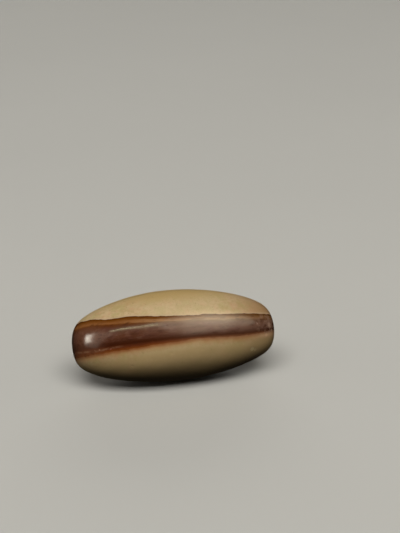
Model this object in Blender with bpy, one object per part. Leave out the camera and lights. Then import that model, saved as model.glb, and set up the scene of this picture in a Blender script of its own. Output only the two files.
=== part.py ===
"""Shiva lingam stone: one piece of river stone, ground and hand polished to a long blunt-ended egg.

The stone lies on its side. X runs along it, with the fuller belly at -X. Y is across it. A dark
layer runs through it lengthwise, level along X and sloping down towards +Y. Z is up, and the
small worn flat that it rests on is at Z = 0. The origin is on that surface, under the middle of
the stone. Lengths are in metres.
"""

import math

import bmesh
import bpy
from mathutils import Vector

MM = 0.001

# The stone's overall size.
HALF_LENGTH = 50.0 * MM
HALF_WIDTH = 23.2 * MM
HALF_HEIGHT = 22.1 * MM

# How its girth changes along its length, as shares of the girth at the middle.
END_BLUNTNESS = 0.90  # 0 is a plain ellipsoid's end, and near 1 is a flat one
TAPER_TO_ENDS = 0.42
FULLER_LEFT_BELLY = 0.030
FULLER_RIGHT_TIP = 0.047

# Both tips lie this far below the middle's axis, so that the back arches more than the belly.
TIP_DROOP = 0.86 * MM

# Gentle waves that hand grinding leaves: height, then how fast each turns with
# the place along (u), across (v) and up (w), then its starting angle.
GRINDING_WAVES = (
    (0.22 * MM, Vector((4.6, 2.2, 0.0)), 0.7),
    (0.16 * MM, Vector((-3.1, 0.0, 3.4)), 1.9),
    (0.12 * MM, Vector((5.2, 3.0, -2.6)), 0.0),
)

# The worn spot under the stone is this deep, which makes it about 19 mm by 8 mm.
RESTING_FLAT_DEPTH = 0.35 * MM

# Faces along the stone and around each quarter of its girth.
FACES_ALONG = 44
FACES_PER_QUARTER = 22

TAN_STONE = (0.50, 0.36, 0.19, 1.0)
POLISHED_ROUGHNESS = 0.38


def clear_scene():
    for obj in list(bpy.data.objects):
        bpy.data.objects.remove(obj, do_unlink=True)


def polished_stone_material():
    material = bpy.data.materials.new("polished_tan_stone")
    material.use_nodes = True
    material.diffuse_color = TAN_STONE
    shader = material.node_tree.nodes["Principled BSDF"]
    shader.inputs["Base Color"].default_value = TAN_STONE
    shader.inputs["Roughness"].default_value = POLISHED_ROUGHNESS
    shader.inputs["Metallic"].default_value = 0.0
    return material


def even_box(bm):
    """A box from -1 to 1, with more faces along X than across it."""
    bmesh.ops.create_cube(bm, size=2.0)
    for axis, faces in enumerate((FACES_ALONG, FACES_PER_QUARTER, FACES_PER_QUARTER)):
        edges = [e for e in bm.edges if abs(e.verts[0].co[axis] - e.verts[1].co[axis]) > 0.5]
        bmesh.ops.subdivide_edges(bm, edges=edges, cuts=faces - 1, use_grid_fill=True)


def on_unit_sphere(point):
    """The box's point moved out to the unit sphere, so that the faces there are alike in size."""
    even = Vector(math.tan(c * math.pi / 4) for c in point)
    return even.normalized()


def on_stone(direction):
    """The point of the stone's surface that a point (u, v, w) of the unit sphere becomes."""
    u, v, w = direction
    girth = 1 - FULLER_LEFT_BELLY * u - TAPER_TO_ENDS * u**2 + FULLER_RIGHT_TIP * u**3
    girth /= math.sqrt(1 - END_BLUNTNESS * u**2)
    ground = sum(
        height * math.sin(rate.dot(direction) + start)
        for height, rate, start in GRINDING_WAVES
    )
    return Vector(
        (
            HALF_LENGTH * u,
            (HALF_WIDTH * girth + ground) * v,
            (HALF_HEIGHT * girth + ground) * w - TIP_DROOP * u**2,
        )
    )


def wear_resting_flat(bm):
    """Cuts the lowest sliver off level and closes the cut with one flat face."""
    lowest = min(vert.co.z for vert in bm.verts)
    level = Vector((0, 0, lowest + RESTING_FLAT_DEPTH))
    cut = bmesh.ops.bisect_plane(
        bm,
        geom=bm.verts[:] + bm.edges[:] + bm.faces[:],
        plane_co=level,
        plane_no=(0, 0, -1),
        clear_outer=True,
    )
    rim = [item for item in cut["geom_cut"] if isinstance(item, bmesh.types.BMEdge)]
    for vert in {vert for edge in rim for vert in edge.verts}:
        vert.co.z = level.z
    bmesh.ops.contextual_create(bm, geom=rim)


def set_on_origin(bm):
    """Moves the stone so that the origin is on the surface below the middle of its box."""
    xs = [vert.co.x for vert in bm.verts]
    ys = [vert.co.y for vert in bm.verts]
    lowest = min(vert.co.z for vert in bm.verts)
    middle = Vector(((min(xs) + max(xs)) / 2, (min(ys) + max(ys)) / 2, lowest))
    bmesh.ops.translate(bm, verts=bm.verts[:], vec=-middle)


def make_stone():
    bm = bmesh.new()
    even_box(bm)
    for vert in bm.verts:
        vert.co = on_stone(on_unit_sphere(vert.co))
    wear_resting_flat(bm)
    set_on_origin(bm)
    bmesh.ops.recalc_face_normals(bm, faces=bm.faces[:])
    mesh = bpy.data.meshes.new("stone")
    bm.to_mesh(mesh)
    bm.free()
    mesh.shade_smooth()
    mesh.set_sharp_from_angle(angle=math.radians(30))
    mesh.materials.append(polished_stone_material())
    stone = bpy.data.objects.new("stone", mesh)
    bpy.context.scene.collection.objects.link(stone)
    return stone


def main():
    clear_scene()
    make_stone()


main()
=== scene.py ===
"""Shiva lingam stone: the looks of one polished river stone that lies on its side.

The stone is made again here as a finer mesh of the solid's form, with the shallow dings of its hand
polish. Its colours are one node material, worked out from each point's place in the rock, so that
the dark layer runs right through the stone and comes out again at its ends and its back.
Meshes are in metres. The material works in millimetres.
"""
import math
import random

import bmesh
import bpy
import numpy as np
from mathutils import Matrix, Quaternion, Vector


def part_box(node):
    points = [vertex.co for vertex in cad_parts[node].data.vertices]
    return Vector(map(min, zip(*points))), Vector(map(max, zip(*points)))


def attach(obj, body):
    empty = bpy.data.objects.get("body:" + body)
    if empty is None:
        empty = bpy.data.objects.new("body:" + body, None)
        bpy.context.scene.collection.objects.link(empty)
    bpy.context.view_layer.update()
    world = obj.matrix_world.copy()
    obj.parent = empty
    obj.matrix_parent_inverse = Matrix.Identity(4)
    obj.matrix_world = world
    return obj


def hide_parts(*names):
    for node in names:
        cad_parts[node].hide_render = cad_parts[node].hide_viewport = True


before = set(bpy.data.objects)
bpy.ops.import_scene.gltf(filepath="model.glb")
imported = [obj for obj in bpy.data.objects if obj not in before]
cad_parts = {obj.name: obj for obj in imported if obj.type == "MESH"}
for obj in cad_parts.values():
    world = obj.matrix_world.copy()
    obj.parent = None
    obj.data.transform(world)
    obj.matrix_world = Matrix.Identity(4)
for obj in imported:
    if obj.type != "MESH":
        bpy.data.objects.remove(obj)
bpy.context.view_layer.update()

MM = 0.001

# The photograph's frame, and the camera that looks at the stone as the photograph does, at an
# azimuth (0 is -Y, 90 is +X) and elevation in degrees.
IMAGE_WIDTH, IMAGE_HEIGHT = 400, 533
LENS_MM, SENSOR_MM = 85.0, 36.0
CAMERA_AZIMUTH, CAMERA_ELEVATION = -14, 20
STONE_DEPTH = 616 * MM
STONE_PIXEL = (173.9, 335.1)

# Slightly warm light, as in the photograph. The band mirrors a warmer sheen, a whiter spot and a
# yellower streak.
LIGHT_COLOUR = (1.0, 0.93, 0.76)
SHEEN_COLOUR = (1.0, 0.90, 0.68)
SPOT_COLOUR = (1.0, 0.97, 0.84)
STREAK_COLOUR = (1.0, 0.99, 0.62)
ALL_ROUND_GLOW = 0.009

# Softboxes that face the stone's middle: name, azimuth, elevation, distance, width, height, how
# bright its face is, its turn in its own plane, and its colour. Lengths are in metres and angles
# in degrees. These light the stone, and don't show in its polish.
LIGHTING = (
    ("softbox_in_front", -13, 57.5, 5.0, 5.30, 2.60, 5.85, 0, LIGHT_COLOUR),
    ("softbox_behind", 166, 15, 5.0, 4.00, 2.40, 2.9, 0, LIGHT_COLOUR),
    ("low_softbox_at_left", -100, 8, 2.0, 1.20, 0.50, 1.7, 0, LIGHT_COLOUR),
)
# These show in its polish, and don't light it.
MIRRORED = (
    ("right_sheen", 44, 50, 1.6, 1.42, 1.30, 3.2, 0, SHEEN_COLOUR),
    ("right_sheen_middle", 46, 52, 1.6, 0.62, 0.62, 4.4, 0, SHEEN_COLOUR),
    ("left_spot", -77, 28.5, 1.4, 0.40, 0.62, 9.0, 31, SPOT_COLOUR),
    ("left_spot_middle", -79, 28, 1.4, 0.16, 0.26, 8.0, 31, SPOT_COLOUR),
    ("left_haze", -62, 28, 1.4, 0.86, 1.10, 0.9, 0, SPOT_COLOUR),
    ("left_haze_middle", -71, 30, 1.4, 0.48, 0.80, 0.9, 31, SPOT_COLOUR),
    ("streak", -28, 58.5, 1.5, 0.75, 0.055, 14.5, 17, STREAK_COLOUR),
)

# The floor: its half width and the size of its faint clouds in metres, the two pale paints that
# they blend, and its roughness.
FLOOR_REACH = 6.0
FLOOR_CLOUD_SIZE = 0.35
FLOOR_PAINTS = ((196, 200, 210), (202, 206, 216))
FLOOR_ROUGHNESS = 0.8

# The stone's form, as in the solid: sizes from its box, and how its girth changes along it.
STONE_LOW, STONE_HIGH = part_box("stone")
HALF_LENGTH = (STONE_HIGH.x - STONE_LOW.x) / 2
HALF_WIDTH = 0.464 * HALF_LENGTH
HALF_HEIGHT = 0.442 * HALF_LENGTH
END_BLUNTNESS = 0.90
TAPER_TO_ENDS = 0.42
FULLER_LEFT_BELLY = 0.030
FULLER_RIGHT_TIP = 0.047
TIP_DROOP = 0.86 * MM
GRINDING_WAVES = (
    (0.22 * MM, (4.6, 2.2, 0.0), 0.7),
    (0.16 * MM, (-3.1, 0.0, 3.4), 1.9),
    (0.12 * MM, (5.2, 3.0, -2.6), 0.0),
)
RESTING_FLAT_DEPTH = 0.35 * MM
FLAT_EDGE_SOFTNESS = 0.10 * MM
FACES_ALONG, FACES_PER_QUARTER = 208, 92

# What polishing by hand leaves on the surface: faint swells, and shallow dings.
POLISH_SEED = 9
SWELL_HEIGHT = 0.006 * MM
SWELL_LENGTHS = (7 * MM, 16 * MM)
SWELLS = 14
DINGS = 34
DING_RADII = (0.5 * MM, 1.3 * MM)
DING_DEPTHS = (0.04 * MM, 0.13 * MM)

# The dark layer is a slab that runs along the stone and slopes down towards +Y. Height across it
# is z + LAYER_SLOPE * y, in mm, counted from the middle of the stone.
LAYER_SLOPE = 0.55
LAYER_MIDDLE = 21.7
# No layer is thinner than this, in mm.
THINNEST_LAYER = 0.4
# Its four edges: the height across the layer at places along X, in mm.
TOP_LINE = (
    (-50, 10.4), (-47.5, 11.6), (-44, 11.9), (-38, 10.95), (-31, 10.4), (-25, 10.65), (-20, 10.15),
    (-10, 8.9), (0, 8.1), (9, 7.45), (11, 7.7), (20, 7.0), (30, 6.45), (40, 5.85), (50, 5.7),
)
RUST_FOOT = (
    (-50, 6.6), (-42, 7.55), (-31, 6.95), (-17, 5.85), (-3, 5.1), (11, 4.3), (27, 3.3), (50, 2.6),
)
DARK_FOOT = (
    (-50, -3.3), (-30, -4.1), (-12, -4.0), (7, -3.8), (25, -4.3), (40, -3.9), (50, -1.8),
)
RED_FOOT = (
    (-50, -6.0), (-47.5, -8.3), (-42, -8.2), (-33, -7.8), (-19, -7.2), (-8, -6.65), (2, -5.95),
    (6, -5.6), (12, -6.0), (25, -6.3), (34, -6.0), (40, -5.25), (44, -4.8), (50, -2.8),
)
# A thin pale line in the red layer's left end.
PALE_LINE = ((-50, -4.7), (-45, -5.8), (-40, -6.0), (-34, -5.4), (-26, -5.4))

# Noise is drawn out along the stone: a little in its layers, and a lot in the band's streaks.
LAYER_STRETCH = (0.6, 1.0, 1.0)
STREAK_STRETCH = (0.14, 1.0, 1.0)

# The paints of the tan body.
OLIVE_TAN = (190, 175, 133)
WARM_TAN = (205, 182, 150)
PINK_TAN = (206, 168, 140)
DARK_TAN_MOTTLE = (176, 151, 108)
PALE_TAN_MOTTLE = (216, 198, 164)
PALE_MIDDLE = (214, 194, 162)
UPPER_TAN = (189, 163, 114)
RIGHT_END_TAN = (166, 132, 98)
TAN_GRAIN = (146, 118, 80)
TAN_SPECK = (120, 84, 56)
TAN_BESIDE_TOP_LINE = (201, 175, 151)
# Painted shade: a darker tan laid over the underside, where shade falls.
LOWER_TAN = (198, 172, 129)
UNDERSIDE_PAINTED_SHADE = (112, 90, 60)
HALO = (184, 134, 90)
# The halo's paint at the right tip. It is made paler there as painted light.
RIGHT_TIP_HALO_AND_PAINTED_LIGHT = (216, 176, 146)

# The colours across the dark layer: 0 to 1 is the rust layer from its top line to its foot, 1 to 2
# the maroon layer, and 2 to 3 the red one. They blend from the left end's to the right end's.
LEFT_STRIPES = (
    (0.00, (86, 44, 10)), (0.15, (102, 58, 18)), (0.33, (114, 68, 28)), (0.55, (130, 82, 42)),
    (0.75, (140, 92, 54)), (0.90, (120, 74, 38)), (1.00, (98, 54, 24)), (1.12, (92, 52, 32)),
    (1.25, (94, 59, 45)), (1.60, (95, 57, 42)), (1.80, (81, 45, 31)), (1.93, (69, 33, 17)),
    (2.02, (66, 28, 11)), (2.24, (86, 42, 22)), (2.50, (105, 51, 26)), (2.76, (124, 66, 30)),
    (3.00, (152, 96, 56)),
)
RIGHT_STRIPES = (
    (0.00, (88, 52, 18)), (0.28, (97, 62, 28)), (0.50, (114, 83, 52)), (0.80, (129, 103, 78)),
    (0.94, (124, 98, 72)), (1.05, (101, 70, 48)), (1.15, (93, 61, 46)), (1.45, (106, 74, 62)),
    (1.70, (104, 74, 64)), (1.85, (92, 62, 52)), (1.97, (82, 49, 35)), (2.10, (80, 45, 28)),
    (2.38, (97, 58, 40)), (2.64, (124, 80, 56)), (3.00, (160, 115, 84)),
)
# The paints over them.
BRIGHT_RUST = (160, 117, 79)
RIGHT_END_RUST = (98, 42, 14)
PURPLE_BLOTCH = (96, 60, 54)
PINK_MOTTLE = (114, 78, 66)
RIGHT_END_MAROON = (136, 106, 94)
LEFT_END_MAROON = (122, 86, 70)
PALE_PATCH = (142, 112, 97)
DARK_PATCH = (76, 44, 28)
DARK_STREAK = (60, 32, 22)
PALE_STREAK = (118, 88, 78)
PALE_LINE_PAINT = (136, 98, 76)

# Chips and small stains: the middle (x, y, z) and the radius of each, in mm, and its paint.
MARKS = (
    ((37.9, -13.8, 29.6), 0.8, (168, 136, 126)),
    ((45.1, -10.9, 27.2), 1.6, (160, 130, 117)),
    ((46.2, -11.2, 24.0), 1.1, (166, 136, 118)),
    ((42.8, -14.0, 23.2), 1.1, (216, 178, 148)),
    ((34.8, -17.2, 18.1), 1.5, (218, 200, 160)),
    ((36.6, -16.4, 17.3), 1.2, (210, 188, 148)),
    ((-39.3, -15.6, 24.6), 0.6, (158, 112, 92)),
    ((-34.3, -17.4, 25.4), 0.6, (156, 98, 82)),
)
# How far a mark of 1 mm radius goes in. As shares of its radius, how ragged its edge is, and where
# its paint starts to fade. How much its paint covers inside that.
MARK_DEPTH = 0.05 * MM
MARK_RAGGEDNESS = 0.35
MARK_FADE_START = 0.4
MARK_COVER = 0.85

# The polish: the band is glossier than the tan, most of all at its left end.
STONE_IOR = 1.46
TAN_ROUGHNESS = 0.30
BAND_ROUGHNESS_AT_LEFT, BAND_ROUGHNESS_AT_RIGHT = 0.165, 0.24
UNEVEN_ROUGHNESS = 0.03
GRAIN_BUMP = 0.12
GRAIN_DEPTH = 0.05 * MM


def direction(azimuth, elevation):
    """The unit vector towards a place seen at azimuth (0 is -Y, 90 is +X) and elevation, in degrees."""
    a, e = math.radians(azimuth), math.radians(elevation)
    return Vector((math.sin(a) * math.cos(e), -math.cos(a) * math.cos(e), math.sin(e)))


def softbox(name, azimuth, elevation, distance, width, height, glow, turn, tint):
    light = bpy.data.lights.new(name, "AREA")
    light.shape = "RECTANGLE"
    light.size = width
    light.size_y = height
    light.energy = glow * math.pi * width * height
    light.color = tint
    lamp = bpy.data.objects.new(name, light)
    middle = Vector((0, 0, (STONE_LOW.z + STONE_HIGH.z) / 2))
    back = direction(azimuth, elevation)
    lamp.location = middle + distance * back
    turned = Quaternion((0, 0, 1), math.radians(turn))
    lamp.rotation_euler = (back.to_track_quat("Z", "Y") @ turned).to_euler()
    bpy.context.scene.collection.objects.link(lamp)
    return lamp


def make_lights():
    for lamp in LIGHTING:
        softbox(*lamp).visible_glossy = False
    for lamp in MIRRORED:
        softbox(*lamp).visible_diffuse = False
    world = bpy.data.worlds.new("studio")
    world.use_nodes = True
    background = world.node_tree.nodes["Background"]
    background.inputs["Color"].default_value = LIGHT_COLOUR + (1.0,)
    background.inputs["Strength"].default_value = ALL_ROUND_GLOW
    bpy.context.scene.world = world
    bpy.context.scene.view_settings.view_transform = "Standard"


def make_stage():
    bm = bmesh.new()
    bmesh.ops.create_grid(bm, x_segments=8, y_segments=8, size=FLOOR_REACH)
    mesh = bpy.data.meshes.new("floor")
    bm.to_mesh(mesh)
    bm.free()
    floor = bpy.data.objects.new("floor", mesh)
    bpy.context.scene.collection.objects.link(floor)
    mesh.materials.append(floor_material())
    # The floor neither lights the stone nor shows in its polish. That keeps the stone's underside
    # as dark as the photograph shows it.
    floor.visible_diffuse = False
    floor.visible_glossy = False


def make_camera(stone_middle):
    """Puts stone_middle at STONE_DEPTH along the view, and at STONE_PIXEL in the picture."""
    back = direction(CAMERA_AZIMUTH, CAMERA_ELEVATION)
    right = direction(CAMERA_AZIMUTH + 90, 0)
    up = back.cross(right)
    focal_pixels = IMAGE_HEIGHT * LENS_MM / SENSOR_MM
    across = (STONE_PIXEL[0] - IMAGE_WIDTH / 2) / focal_pixels * STONE_DEPTH
    above = (IMAGE_HEIGHT / 2 - STONE_PIXEL[1]) / focal_pixels * STONE_DEPTH
    data = bpy.data.cameras.new("camera")
    data.lens = LENS_MM
    data.sensor_width = SENSOR_MM
    camera = bpy.data.objects.new("camera", data)
    camera.location = stone_middle + STONE_DEPTH * back - across * right - above * up
    camera.rotation_euler = back.to_track_quat("Z", "Y").to_euler()
    bpy.context.scene.collection.objects.link(camera)
    bpy.context.scene.camera = camera


def colour(red, green, blue):
    """A paint's linear colour from the 0 to 255 numbers that a colour picker shows."""
    def linear(c):
        c /= 255
        return c / 12.92 if c <= 0.04045 else ((c + 0.055) / 1.055) ** 2.4
    return (linear(red), linear(green), linear(blue), 1.0)


class Graph:
    """Adds nodes to a material and links them. Values are sockets, numbers, or tuples."""

    def __init__(self, name):
        self.material = bpy.data.materials.new(name)
        self.material.use_nodes = True
        self.tree = self.material.node_tree
        self.shader = self.tree.nodes["Principled BSDF"]

    def put(self, socket, value):
        if isinstance(value, bpy.types.NodeSocket):
            self.tree.links.new(value, socket)
        else:
            socket.default_value = value

    def math(self, operation, *values, clamp=False):
        node = self.tree.nodes.new("ShaderNodeMath")
        node.operation = operation
        node.use_clamp = clamp
        for socket, value in zip(node.inputs, values):
            self.put(socket, value)
        return node.outputs[0]

    def total(self, *values):
        result = values[0]
        for value in values[1:]:
            result = self.math("ADD", result, value)
        return result

    def times(self, *values):
        result = values[0]
        for value in values[1:]:
            result = self.math("MULTIPLY", result, value)
        return result

    def scaled(self, vector, factors):
        node = self.tree.nodes.new("ShaderNodeVectorMath")
        node.operation = "MULTIPLY"
        self.put(node.inputs[0], vector)
        self.put(node.inputs[1], factors)
        return node.outputs[0]

    def distance(self, vector, place):
        node = self.tree.nodes.new("ShaderNodeVectorMath")
        node.operation = "DISTANCE"
        self.put(node.inputs[0], vector)
        self.put(node.inputs[1], place)
        return node.outputs["Value"]

    def ramp(self, value, start, end, low=0.0, high=1.0):
        """low where value is start, high where it is end, and a smooth step between them."""
        node = self.tree.nodes.new("ShaderNodeMapRange")
        node.interpolation_type = "SMOOTHSTEP"
        for socket, number in zip(node.inputs, (value, start, end, low, high)):
            self.put(socket, number)
        return node.outputs[0]

    def mix(self, factor, under, over):
        node = self.tree.nodes.new("ShaderNodeMix")
        node.data_type = "RGBA"
        self.put(node.inputs["Factor"], factor)
        self.put(node.inputs[6], under)
        self.put(node.inputs[7], over)
        return node.outputs[2]

    def wash(self, under, paint, *shares):
        """The colour under with paint over it, as much of it as the product of shares."""
        return self.mix(self.times(*shares), under, colour(*paint))

    def noise(self, vector, size, detail=2.0, roughness=0.5, seed=0.0):
        """Smooth noise from 0 to 1 whose blobs are about size across, in vector's units."""
        node = self.tree.nodes.new("ShaderNodeTexNoise")
        node.noise_dimensions = "4D"
        self.put(node.inputs["Vector"], vector)
        self.put(node.inputs["W"], seed)
        self.put(node.inputs["Scale"], 1.0 / size)
        self.put(node.inputs["Detail"], detail)
        self.put(node.inputs["Roughness"], roughness)
        return node.outputs["Fac"]

    def around_zero(self, noise, reach):
        """Noise moved to run from about -reach to reach."""
        return self.math("MULTIPLY_ADD", noise, 4 * reach, -2 * reach)

    def curve(self, x, points):
        """A smooth curve through (x, y) points, read at x."""
        node = self.tree.nodes.new("ShaderNodeFloatCurve")
        xs = [p[0] for p in points]
        ys = [p[1] for p in points]
        x_span, y_span = max(xs) - min(xs), max(ys) - min(ys)
        line = node.mapping.curves[0]
        while len(line.points) < len(points):
            line.points.new(0.5, 0.5)
        for point, (px, py) in zip(line.points, points):
            point.location = ((px - min(xs)) / x_span, (py - min(ys)) / y_span)
        node.mapping.update()
        share = self.math("DIVIDE", self.math("SUBTRACT", x, min(xs)), x_span, clamp=True)
        self.put(node.inputs["Value"], share)
        return self.math("MULTIPLY_ADD", node.outputs[0], y_span, min(ys))

    def stripes(self, place, stops):
        """Colours that blend from one (place, paint) stop to the next."""
        node = self.tree.nodes.new("ShaderNodeValToRGB")
        first, last = stops[0][0], stops[-1][0]
        line = node.color_ramp.elements
        while len(line) < len(stops):
            line.new(0.5)
        for element, (at, paint) in zip(line, stops):
            element.position = (at - first) / (last - first)
            element.color = colour(*paint)
        share = self.math("DIVIDE", self.math("SUBTRACT", place, first), last - first, clamp=True)
        self.put(node.inputs["Fac"], share)
        return node.outputs["Color"]


def floor_material():
    g = Graph("pale_floor")
    place = g.tree.nodes.new("ShaderNodeTexCoord").outputs["Object"]
    cloud = g.noise(place, FLOOR_CLOUD_SIZE, detail=3.0)
    first, second = (colour(*paint) for paint in FLOOR_PAINTS)
    g.put(g.shader.inputs["Base Color"], g.mix(cloud, first, second))
    g.shader.inputs["Roughness"].default_value = FLOOR_ROUGHNESS
    return g.material


# The functions from here to stone_material work in mm: places, heights, and the sizes of noise.

def across_layers(g, place, y, z):
    """The height across the layers, with the small waves that real layers have."""
    height = g.total(z, g.times(y, LAYER_SLOPE), -LAYER_MIDDLE)
    along = g.scaled(place, LAYER_STRETCH)
    waves = g.around_zero(g.noise(along, 7.0, detail=1.0, seed=1.0), 0.12)
    behind = g.ramp(y, -12.0, 12.0)
    lobes = g.times(behind, g.around_zero(g.noise(along, 15.0, detail=2.0, seed=3.0), 3.2))
    return g.total(height, waves, lobes)


def layer_edges(g, place, x):
    """The heights of the dark layer's four edges. Its top line is ragged and its foot is wavy."""
    top, rust, dark, red = (g.curve(x, edge) for edge in (TOP_LINE, RUST_FOOT, DARK_FOOT, RED_FOOT))
    along = g.scaled(place, LAYER_STRETCH)
    ragged = g.noise(along, 1.8, detail=3.0, seed=2.0)
    wavy = g.noise(along, 2.6, detail=2.0, seed=13.0)
    top = g.math("ADD", top, g.around_zero(ragged, 0.22))
    red = g.math("ADD", red, g.around_zero(wavy, 0.30))
    return top, rust, dark, red


def layer_depth(g, edges, height, streaks):
    """How deep in the dark layer a place is: 0 at its top line, and 1, 2 and 3 at the next edges."""
    shares = []
    for upper, lower in zip(edges, edges[1:]):
        thickness = g.math("MAXIMUM", g.math("SUBTRACT", upper, lower), THINNEST_LAYER)
        shares.append(g.math("DIVIDE", g.math("SUBTRACT", upper, height), thickness, clamp=True))
    return g.total(*shares, g.around_zero(streaks, 0.05))


def band_paint(g, place, x, height, depth, grain, streaks, blotches):
    """The dark layer's colours: stripes along it, and what varies within each of them."""
    rightward = g.ramp(x, -24.0, 20.0)
    band = g.mix(rightward, g.stripes(depth, LEFT_STRIPES), g.stripes(depth, RIGHT_STRIPES))

    low_in_rust = g.times(g.ramp(depth, 0.36, 0.56), g.ramp(depth, 0.96, 0.84))
    left_of_middle = g.times(g.ramp(x, -31.0, -12.5, 0.0, 0.8), g.ramp(x, -12.0, -4.0, 1.0, 0.35))
    band = g.wash(band, BRIGHT_RUST, low_in_rust, left_of_middle)
    rust_foot = g.times(g.ramp(depth, 0.4, 0.6), g.ramp(depth, 1.15, 0.95))
    band = g.wash(band, RIGHT_END_RUST, rust_foot, g.ramp(x, 20.0, 42.0, 0.0, 0.35))

    in_maroon = g.times(g.ramp(depth, 1.05, 1.2), g.ramp(depth, 1.9, 1.7))
    band = g.wash(band, PURPLE_BLOTCH, in_maroon, g.ramp(blotches, 0.45, 0.65, 0.0, 0.5))
    mottles = g.noise(g.scaled(place, LAYER_STRETCH), 2.2, detail=2.0, seed=11.0)
    band = g.wash(band, PINK_MOTTLE, in_maroon, g.ramp(mottles, 0.5, 0.72, 0.0, 0.5))
    band = g.wash(band, RIGHT_END_MAROON, in_maroon, g.ramp(x, 38.0, 46.0, 0.0, 0.6))
    below_rust = g.ramp(depth, 0.85, 1.1)
    band = g.wash(band, LEFT_END_MAROON, below_rust, g.ramp(x, -34.0, -43.0, 0.0, 0.3))

    patches = g.noise(place, 2.7, detail=2.0, roughness=0.55, seed=14.0)
    at_right_tip = g.ramp(x, 35.0, 43.0)
    band = g.wash(band, PALE_PATCH, at_right_tip, g.ramp(patches, 0.50, 0.62, 0.0, 0.6))
    band = g.wash(band, DARK_PATCH, at_right_tip, g.ramp(patches, 0.45, 0.34, 0.0, 0.7))
    band = g.wash(band, DARK_STREAK, g.ramp(streaks, 0.5, 0.70, 0.0, 0.45))
    band = g.wash(band, PALE_STREAK, in_maroon, g.ramp(streaks, 0.45, 0.28, 0.0, 0.45))

    from_line = g.math("ABSOLUTE", g.math("SUBTRACT", height, g.curve(x, PALE_LINE)))
    on_line = g.ramp(g.math("ADD", from_line, g.around_zero(grain, 0.3)), 0.85, 0.1)
    broken = g.ramp(mottles, 0.38, 0.6, 0.1, 0.8)
    return g.wash(band, PALE_LINE_PAINT, on_line, g.ramp(x, -26.0, -36.0), broken)


def tan_paint(g, place, x, height, grain):
    """The tan body's colours: clouds of olive and pinker tan, with mottles, grain and specks."""
    clouds = g.noise(place, 5.5, detail=3.0, seed=4.0)
    pinker = g.noise(place, 3.2, detail=2.0, seed=5.0)
    mottles = g.noise(place, 1.7, detail=2.0, seed=12.0)
    specks = g.noise(place, 0.9, detail=1.0, seed=6.0)
    tan = g.mix(g.ramp(clouds, 0.38, 0.62), colour(*OLIVE_TAN), colour(*WARM_TAN))
    tan = g.wash(tan, PINK_TAN, g.ramp(pinker, 0.46, 0.70, 0.0, 0.7))
    tan = g.wash(tan, DARK_TAN_MOTTLE, g.ramp(mottles, 0.45, 0.70, 0.0, 0.45))
    tan = g.wash(tan, PALE_TAN_MOTTLE, g.ramp(mottles, 0.45, 0.25, 0.0, 0.35))
    tan = g.wash(tan, PALE_MIDDLE, g.ramp(x, -26.0, -12.0), g.ramp(x, 26.0, 12.0, 0.0, 0.45))
    tan = g.wash(tan, UPPER_TAN, g.ramp(height, 13.5, 23.5))
    tan = g.wash(tan, RIGHT_END_TAN, g.ramp(x, 20.0, 50.0))
    tan = g.wash(tan, TAN_GRAIN, g.ramp(grain, 0.45, 0.75, 0.0, 0.22))
    return g.wash(tan, TAN_SPECK, g.ramp(specks, 0.70, 0.76, 0.0, 0.45))


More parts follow.
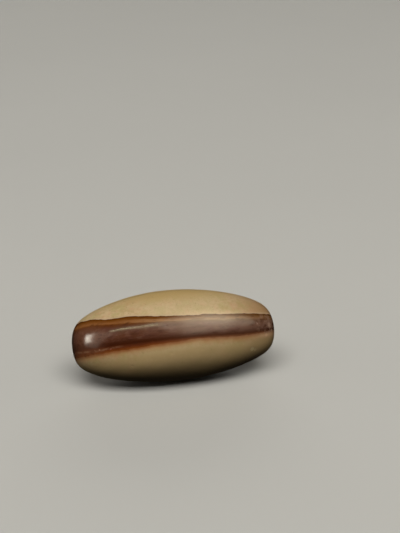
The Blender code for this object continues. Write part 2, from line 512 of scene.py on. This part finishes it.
def stone_material():
    g = Graph("banded_polished_stone")
    rock = g.tree.nodes.new("ShaderNodeTexCoord").outputs["Object"]
    place = g.scaled(rock, (1 / MM, 1 / MM, 1 / MM))
    parts = g.tree.nodes.new("ShaderNodeSeparateXYZ")
    g.put(parts.inputs[0], place)
    x, y, z = parts.outputs
    grain = g.noise(place, 0.55, detail=3.0, roughness=0.6, seed=7.0)
    streaks = g.noise(g.scaled(place, STREAK_STRETCH), 1.1, detail=3.0, roughness=0.6, seed=8.0)
    blotches = g.noise(place, 4.5, detail=3.0, seed=9.0)
    height = across_layers(g, place, y, z)
    edges = layer_edges(g, place, x)
    below_top = g.math("SUBTRACT", edges[0], height)
    below_red = g.math("SUBTRACT", edges[-1], height)
    depth = layer_depth(g, edges, height, streaks)
    band = band_paint(g, place, x, height, depth, grain, streaks, blotches)
    tan = tan_paint(g, place, x, height, grain)

    tan_above = g.wash(tan, TAN_BESIDE_TOP_LINE, g.ramp(below_top, -1.6, -0.4, 0.0, 0.4))
    tan_below = g.wash(tan, LOWER_TAN, g.ramp(below_red, 0.0, 6.0, 0.0, 0.75))
    # Painted shade: the tan turns darker towards the stone's underside.
    tan_below = g.wash(tan_below, UNDERSIDE_PAINTED_SHADE, g.ramp(height, -14.0, -21.0, 0.0, 0.32))
    halo = g.times(g.ramp(below_red, 4.0, 0.0), g.ramp(blotches, 0.2, 0.7, 0.5, 0.9))
    # The halo's own colour, which turns paler towards the right tip. That paleness is painted light.
    halo_and_painted_light = g.mix(g.ramp(x, 32.0, 43.0), colour(*HALO), colour(*RIGHT_TIP_HALO_AND_PAINTED_LIGHT))
    tan_below = g.mix(halo, tan_below, halo_and_painted_light)
    paint = g.mix(g.ramp(below_top, -0.15, 0.15), tan_above, band)
    paint = g.mix(g.ramp(below_red, -0.4, 1.6), paint, tan_below)
    for middle, radius, shade in MARKS:
        edge = g.around_zero(grain, MARK_RAGGEDNESS * radius)
        away = g.math("ADD", g.distance(place, middle), edge)
        cover = g.ramp(away, radius, MARK_FADE_START * radius, 0.0, MARK_COVER)
        paint = g.wash(paint, shade, cover)

    in_band = g.times(g.ramp(below_top, 0.0, 0.5), g.ramp(below_red, 0.0, -0.8))
    band_rough = g.ramp(x, -22.0, 12.0, BAND_ROUGHNESS_AT_LEFT, BAND_ROUGHNESS_AT_RIGHT)
    rough = g.ramp(in_band, 0.0, 1.0, TAN_ROUGHNESS, band_rough)
    uneven = g.around_zero(g.noise(place, 3.0, detail=3.0, seed=10.0), UNEVEN_ROUGHNESS)
    bump = g.tree.nodes.new("ShaderNodeBump")
    bump.inputs["Strength"].default_value = GRAIN_BUMP
    bump.inputs["Distance"].default_value = GRAIN_DEPTH
    g.put(bump.inputs["Height"], grain)
    g.put(g.shader.inputs["Base Color"], paint)
    g.put(g.shader.inputs["Roughness"], g.math("ADD", rough, uneven))
    g.put(g.shader.inputs["Normal"], bump.outputs[0])
    g.shader.inputs["IOR"].default_value = STONE_IOR
    return g.material


def unit_sphere_grid():
    """A box grid moved out to the unit sphere, so that the faces are alike in size."""
    bm = bmesh.new()
    bmesh.ops.create_cube(bm, size=2.0)
    for axis, faces in enumerate((FACES_ALONG, FACES_PER_QUARTER, FACES_PER_QUARTER)):
        edges = [e for e in bm.edges if abs(e.verts[0].co[axis] - e.verts[1].co[axis]) > 0.5]
        bmesh.ops.subdivide_edges(bm, edges=edges, cuts=faces - 1, use_grid_fill=True)
    mesh = bpy.data.meshes.new("polished_stone")
    bm.to_mesh(mesh)
    bm.free()
    places = np.empty(len(mesh.vertices) * 3)
    mesh.vertices.foreach_get("co", places)
    places = np.tan(places.reshape(-1, 3) * math.pi / 4)
    return mesh, places / np.linalg.norm(places, axis=1, keepdims=True)


def on_stone(directions):
    """The stone's surface before its flat is worn: a point for each point (u, v, w) of the sphere."""
    u, v, w = directions.T
    girth = 1 - FULLER_LEFT_BELLY * u - TAPER_TO_ENDS * u**2 + FULLER_RIGHT_TIP * u**3
    girth = girth / np.sqrt(1 - END_BLUNTNESS * u**2)
    ground = sum(
        height * np.sin(directions @ np.array(rate) + start)
        for height, rate, start in GRINDING_WAVES
    )
    y = (HALF_WIDTH * girth + ground) * v
    z = (HALF_HEIGHT * girth + ground) * w - TIP_DROOP * u**2
    return np.stack((HALF_LENGTH * u, y, z), axis=1)


def swells(points, rng):
    """Faint unevenness: plane waves in many directions, which never quite repeat."""
    height = np.zeros(len(points))
    for _ in range(SWELLS):
        way = np.array([rng.gauss(0, 1) for _ in range(3)])
        way *= 2 * math.pi / (np.linalg.norm(way) * rng.uniform(*SWELL_LENGTHS))
        height += SWELL_HEIGHT * np.sin(points @ way + rng.uniform(0, 2 * math.pi))
    return height


def dent(points, centre, radius):
    """A round dent's depth at each point: 1 at its centre, and 0 from radius on."""
    away = np.linalg.norm(points - centre, axis=1) / radius
    return np.where(away < 1, (1 - away**2) ** 2, 0)


def dings(points, rng):
    """Shallow round dings: some at random places, and one at each mark."""
    height = np.zeros(len(points))
    for _ in range(DINGS):
        centre = points[rng.randrange(len(points))]
        radius = rng.uniform(*DING_RADII)
        height -= rng.uniform(*DING_DEPTHS) * dent(points, centre, radius)
    for (x, y, z), radius, _ in MARKS:
        centre = np.array((x, y, z - LAYER_MIDDLE)) * MM
        height -= radius * MARK_DEPTH * dent(points, centre, radius * MM)
    return height


def make_stone():
    """Makes the stone, and returns where the middle of its form is."""
    mesh, directions = unit_sphere_grid()
    points = on_stone(directions)
    level = points[:, 2].min() + RESTING_FLAT_DEPTH
    rng = random.Random(POLISH_SEED)
    outward = directions / np.array((HALF_LENGTH, HALF_WIDTH, HALF_HEIGHT))
    outward /= np.linalg.norm(outward, axis=1, keepdims=True)
    points += outward * (swells(points, rng) + dings(points, rng))[:, None]
    over = points[:, 2] - level
    points[:, 2] = level + 0.5 * (over + np.sqrt(over**2 + FLAT_EDGE_SOFTNESS**2))
    shift = np.array((
        -(points[:, 0].min() + points[:, 0].max()) / 2,
        -(points[:, 1].min() + points[:, 1].max()) / 2,
        -points[:, 2].min(),
    ))
    points += shift
    mesh.vertices.foreach_set("co", points.ravel())
    mesh.update()
    mesh.shade_smooth()
    mesh.materials.append(stone_material())
    stone = bpy.data.objects.new("polished_stone", mesh)
    bpy.context.scene.collection.objects.link(stone)
    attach(stone, "root")
    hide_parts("stone")
    return Vector(shift)


stone_middle = make_stone()
make_camera(stone_middle)
make_lights()
make_stage()
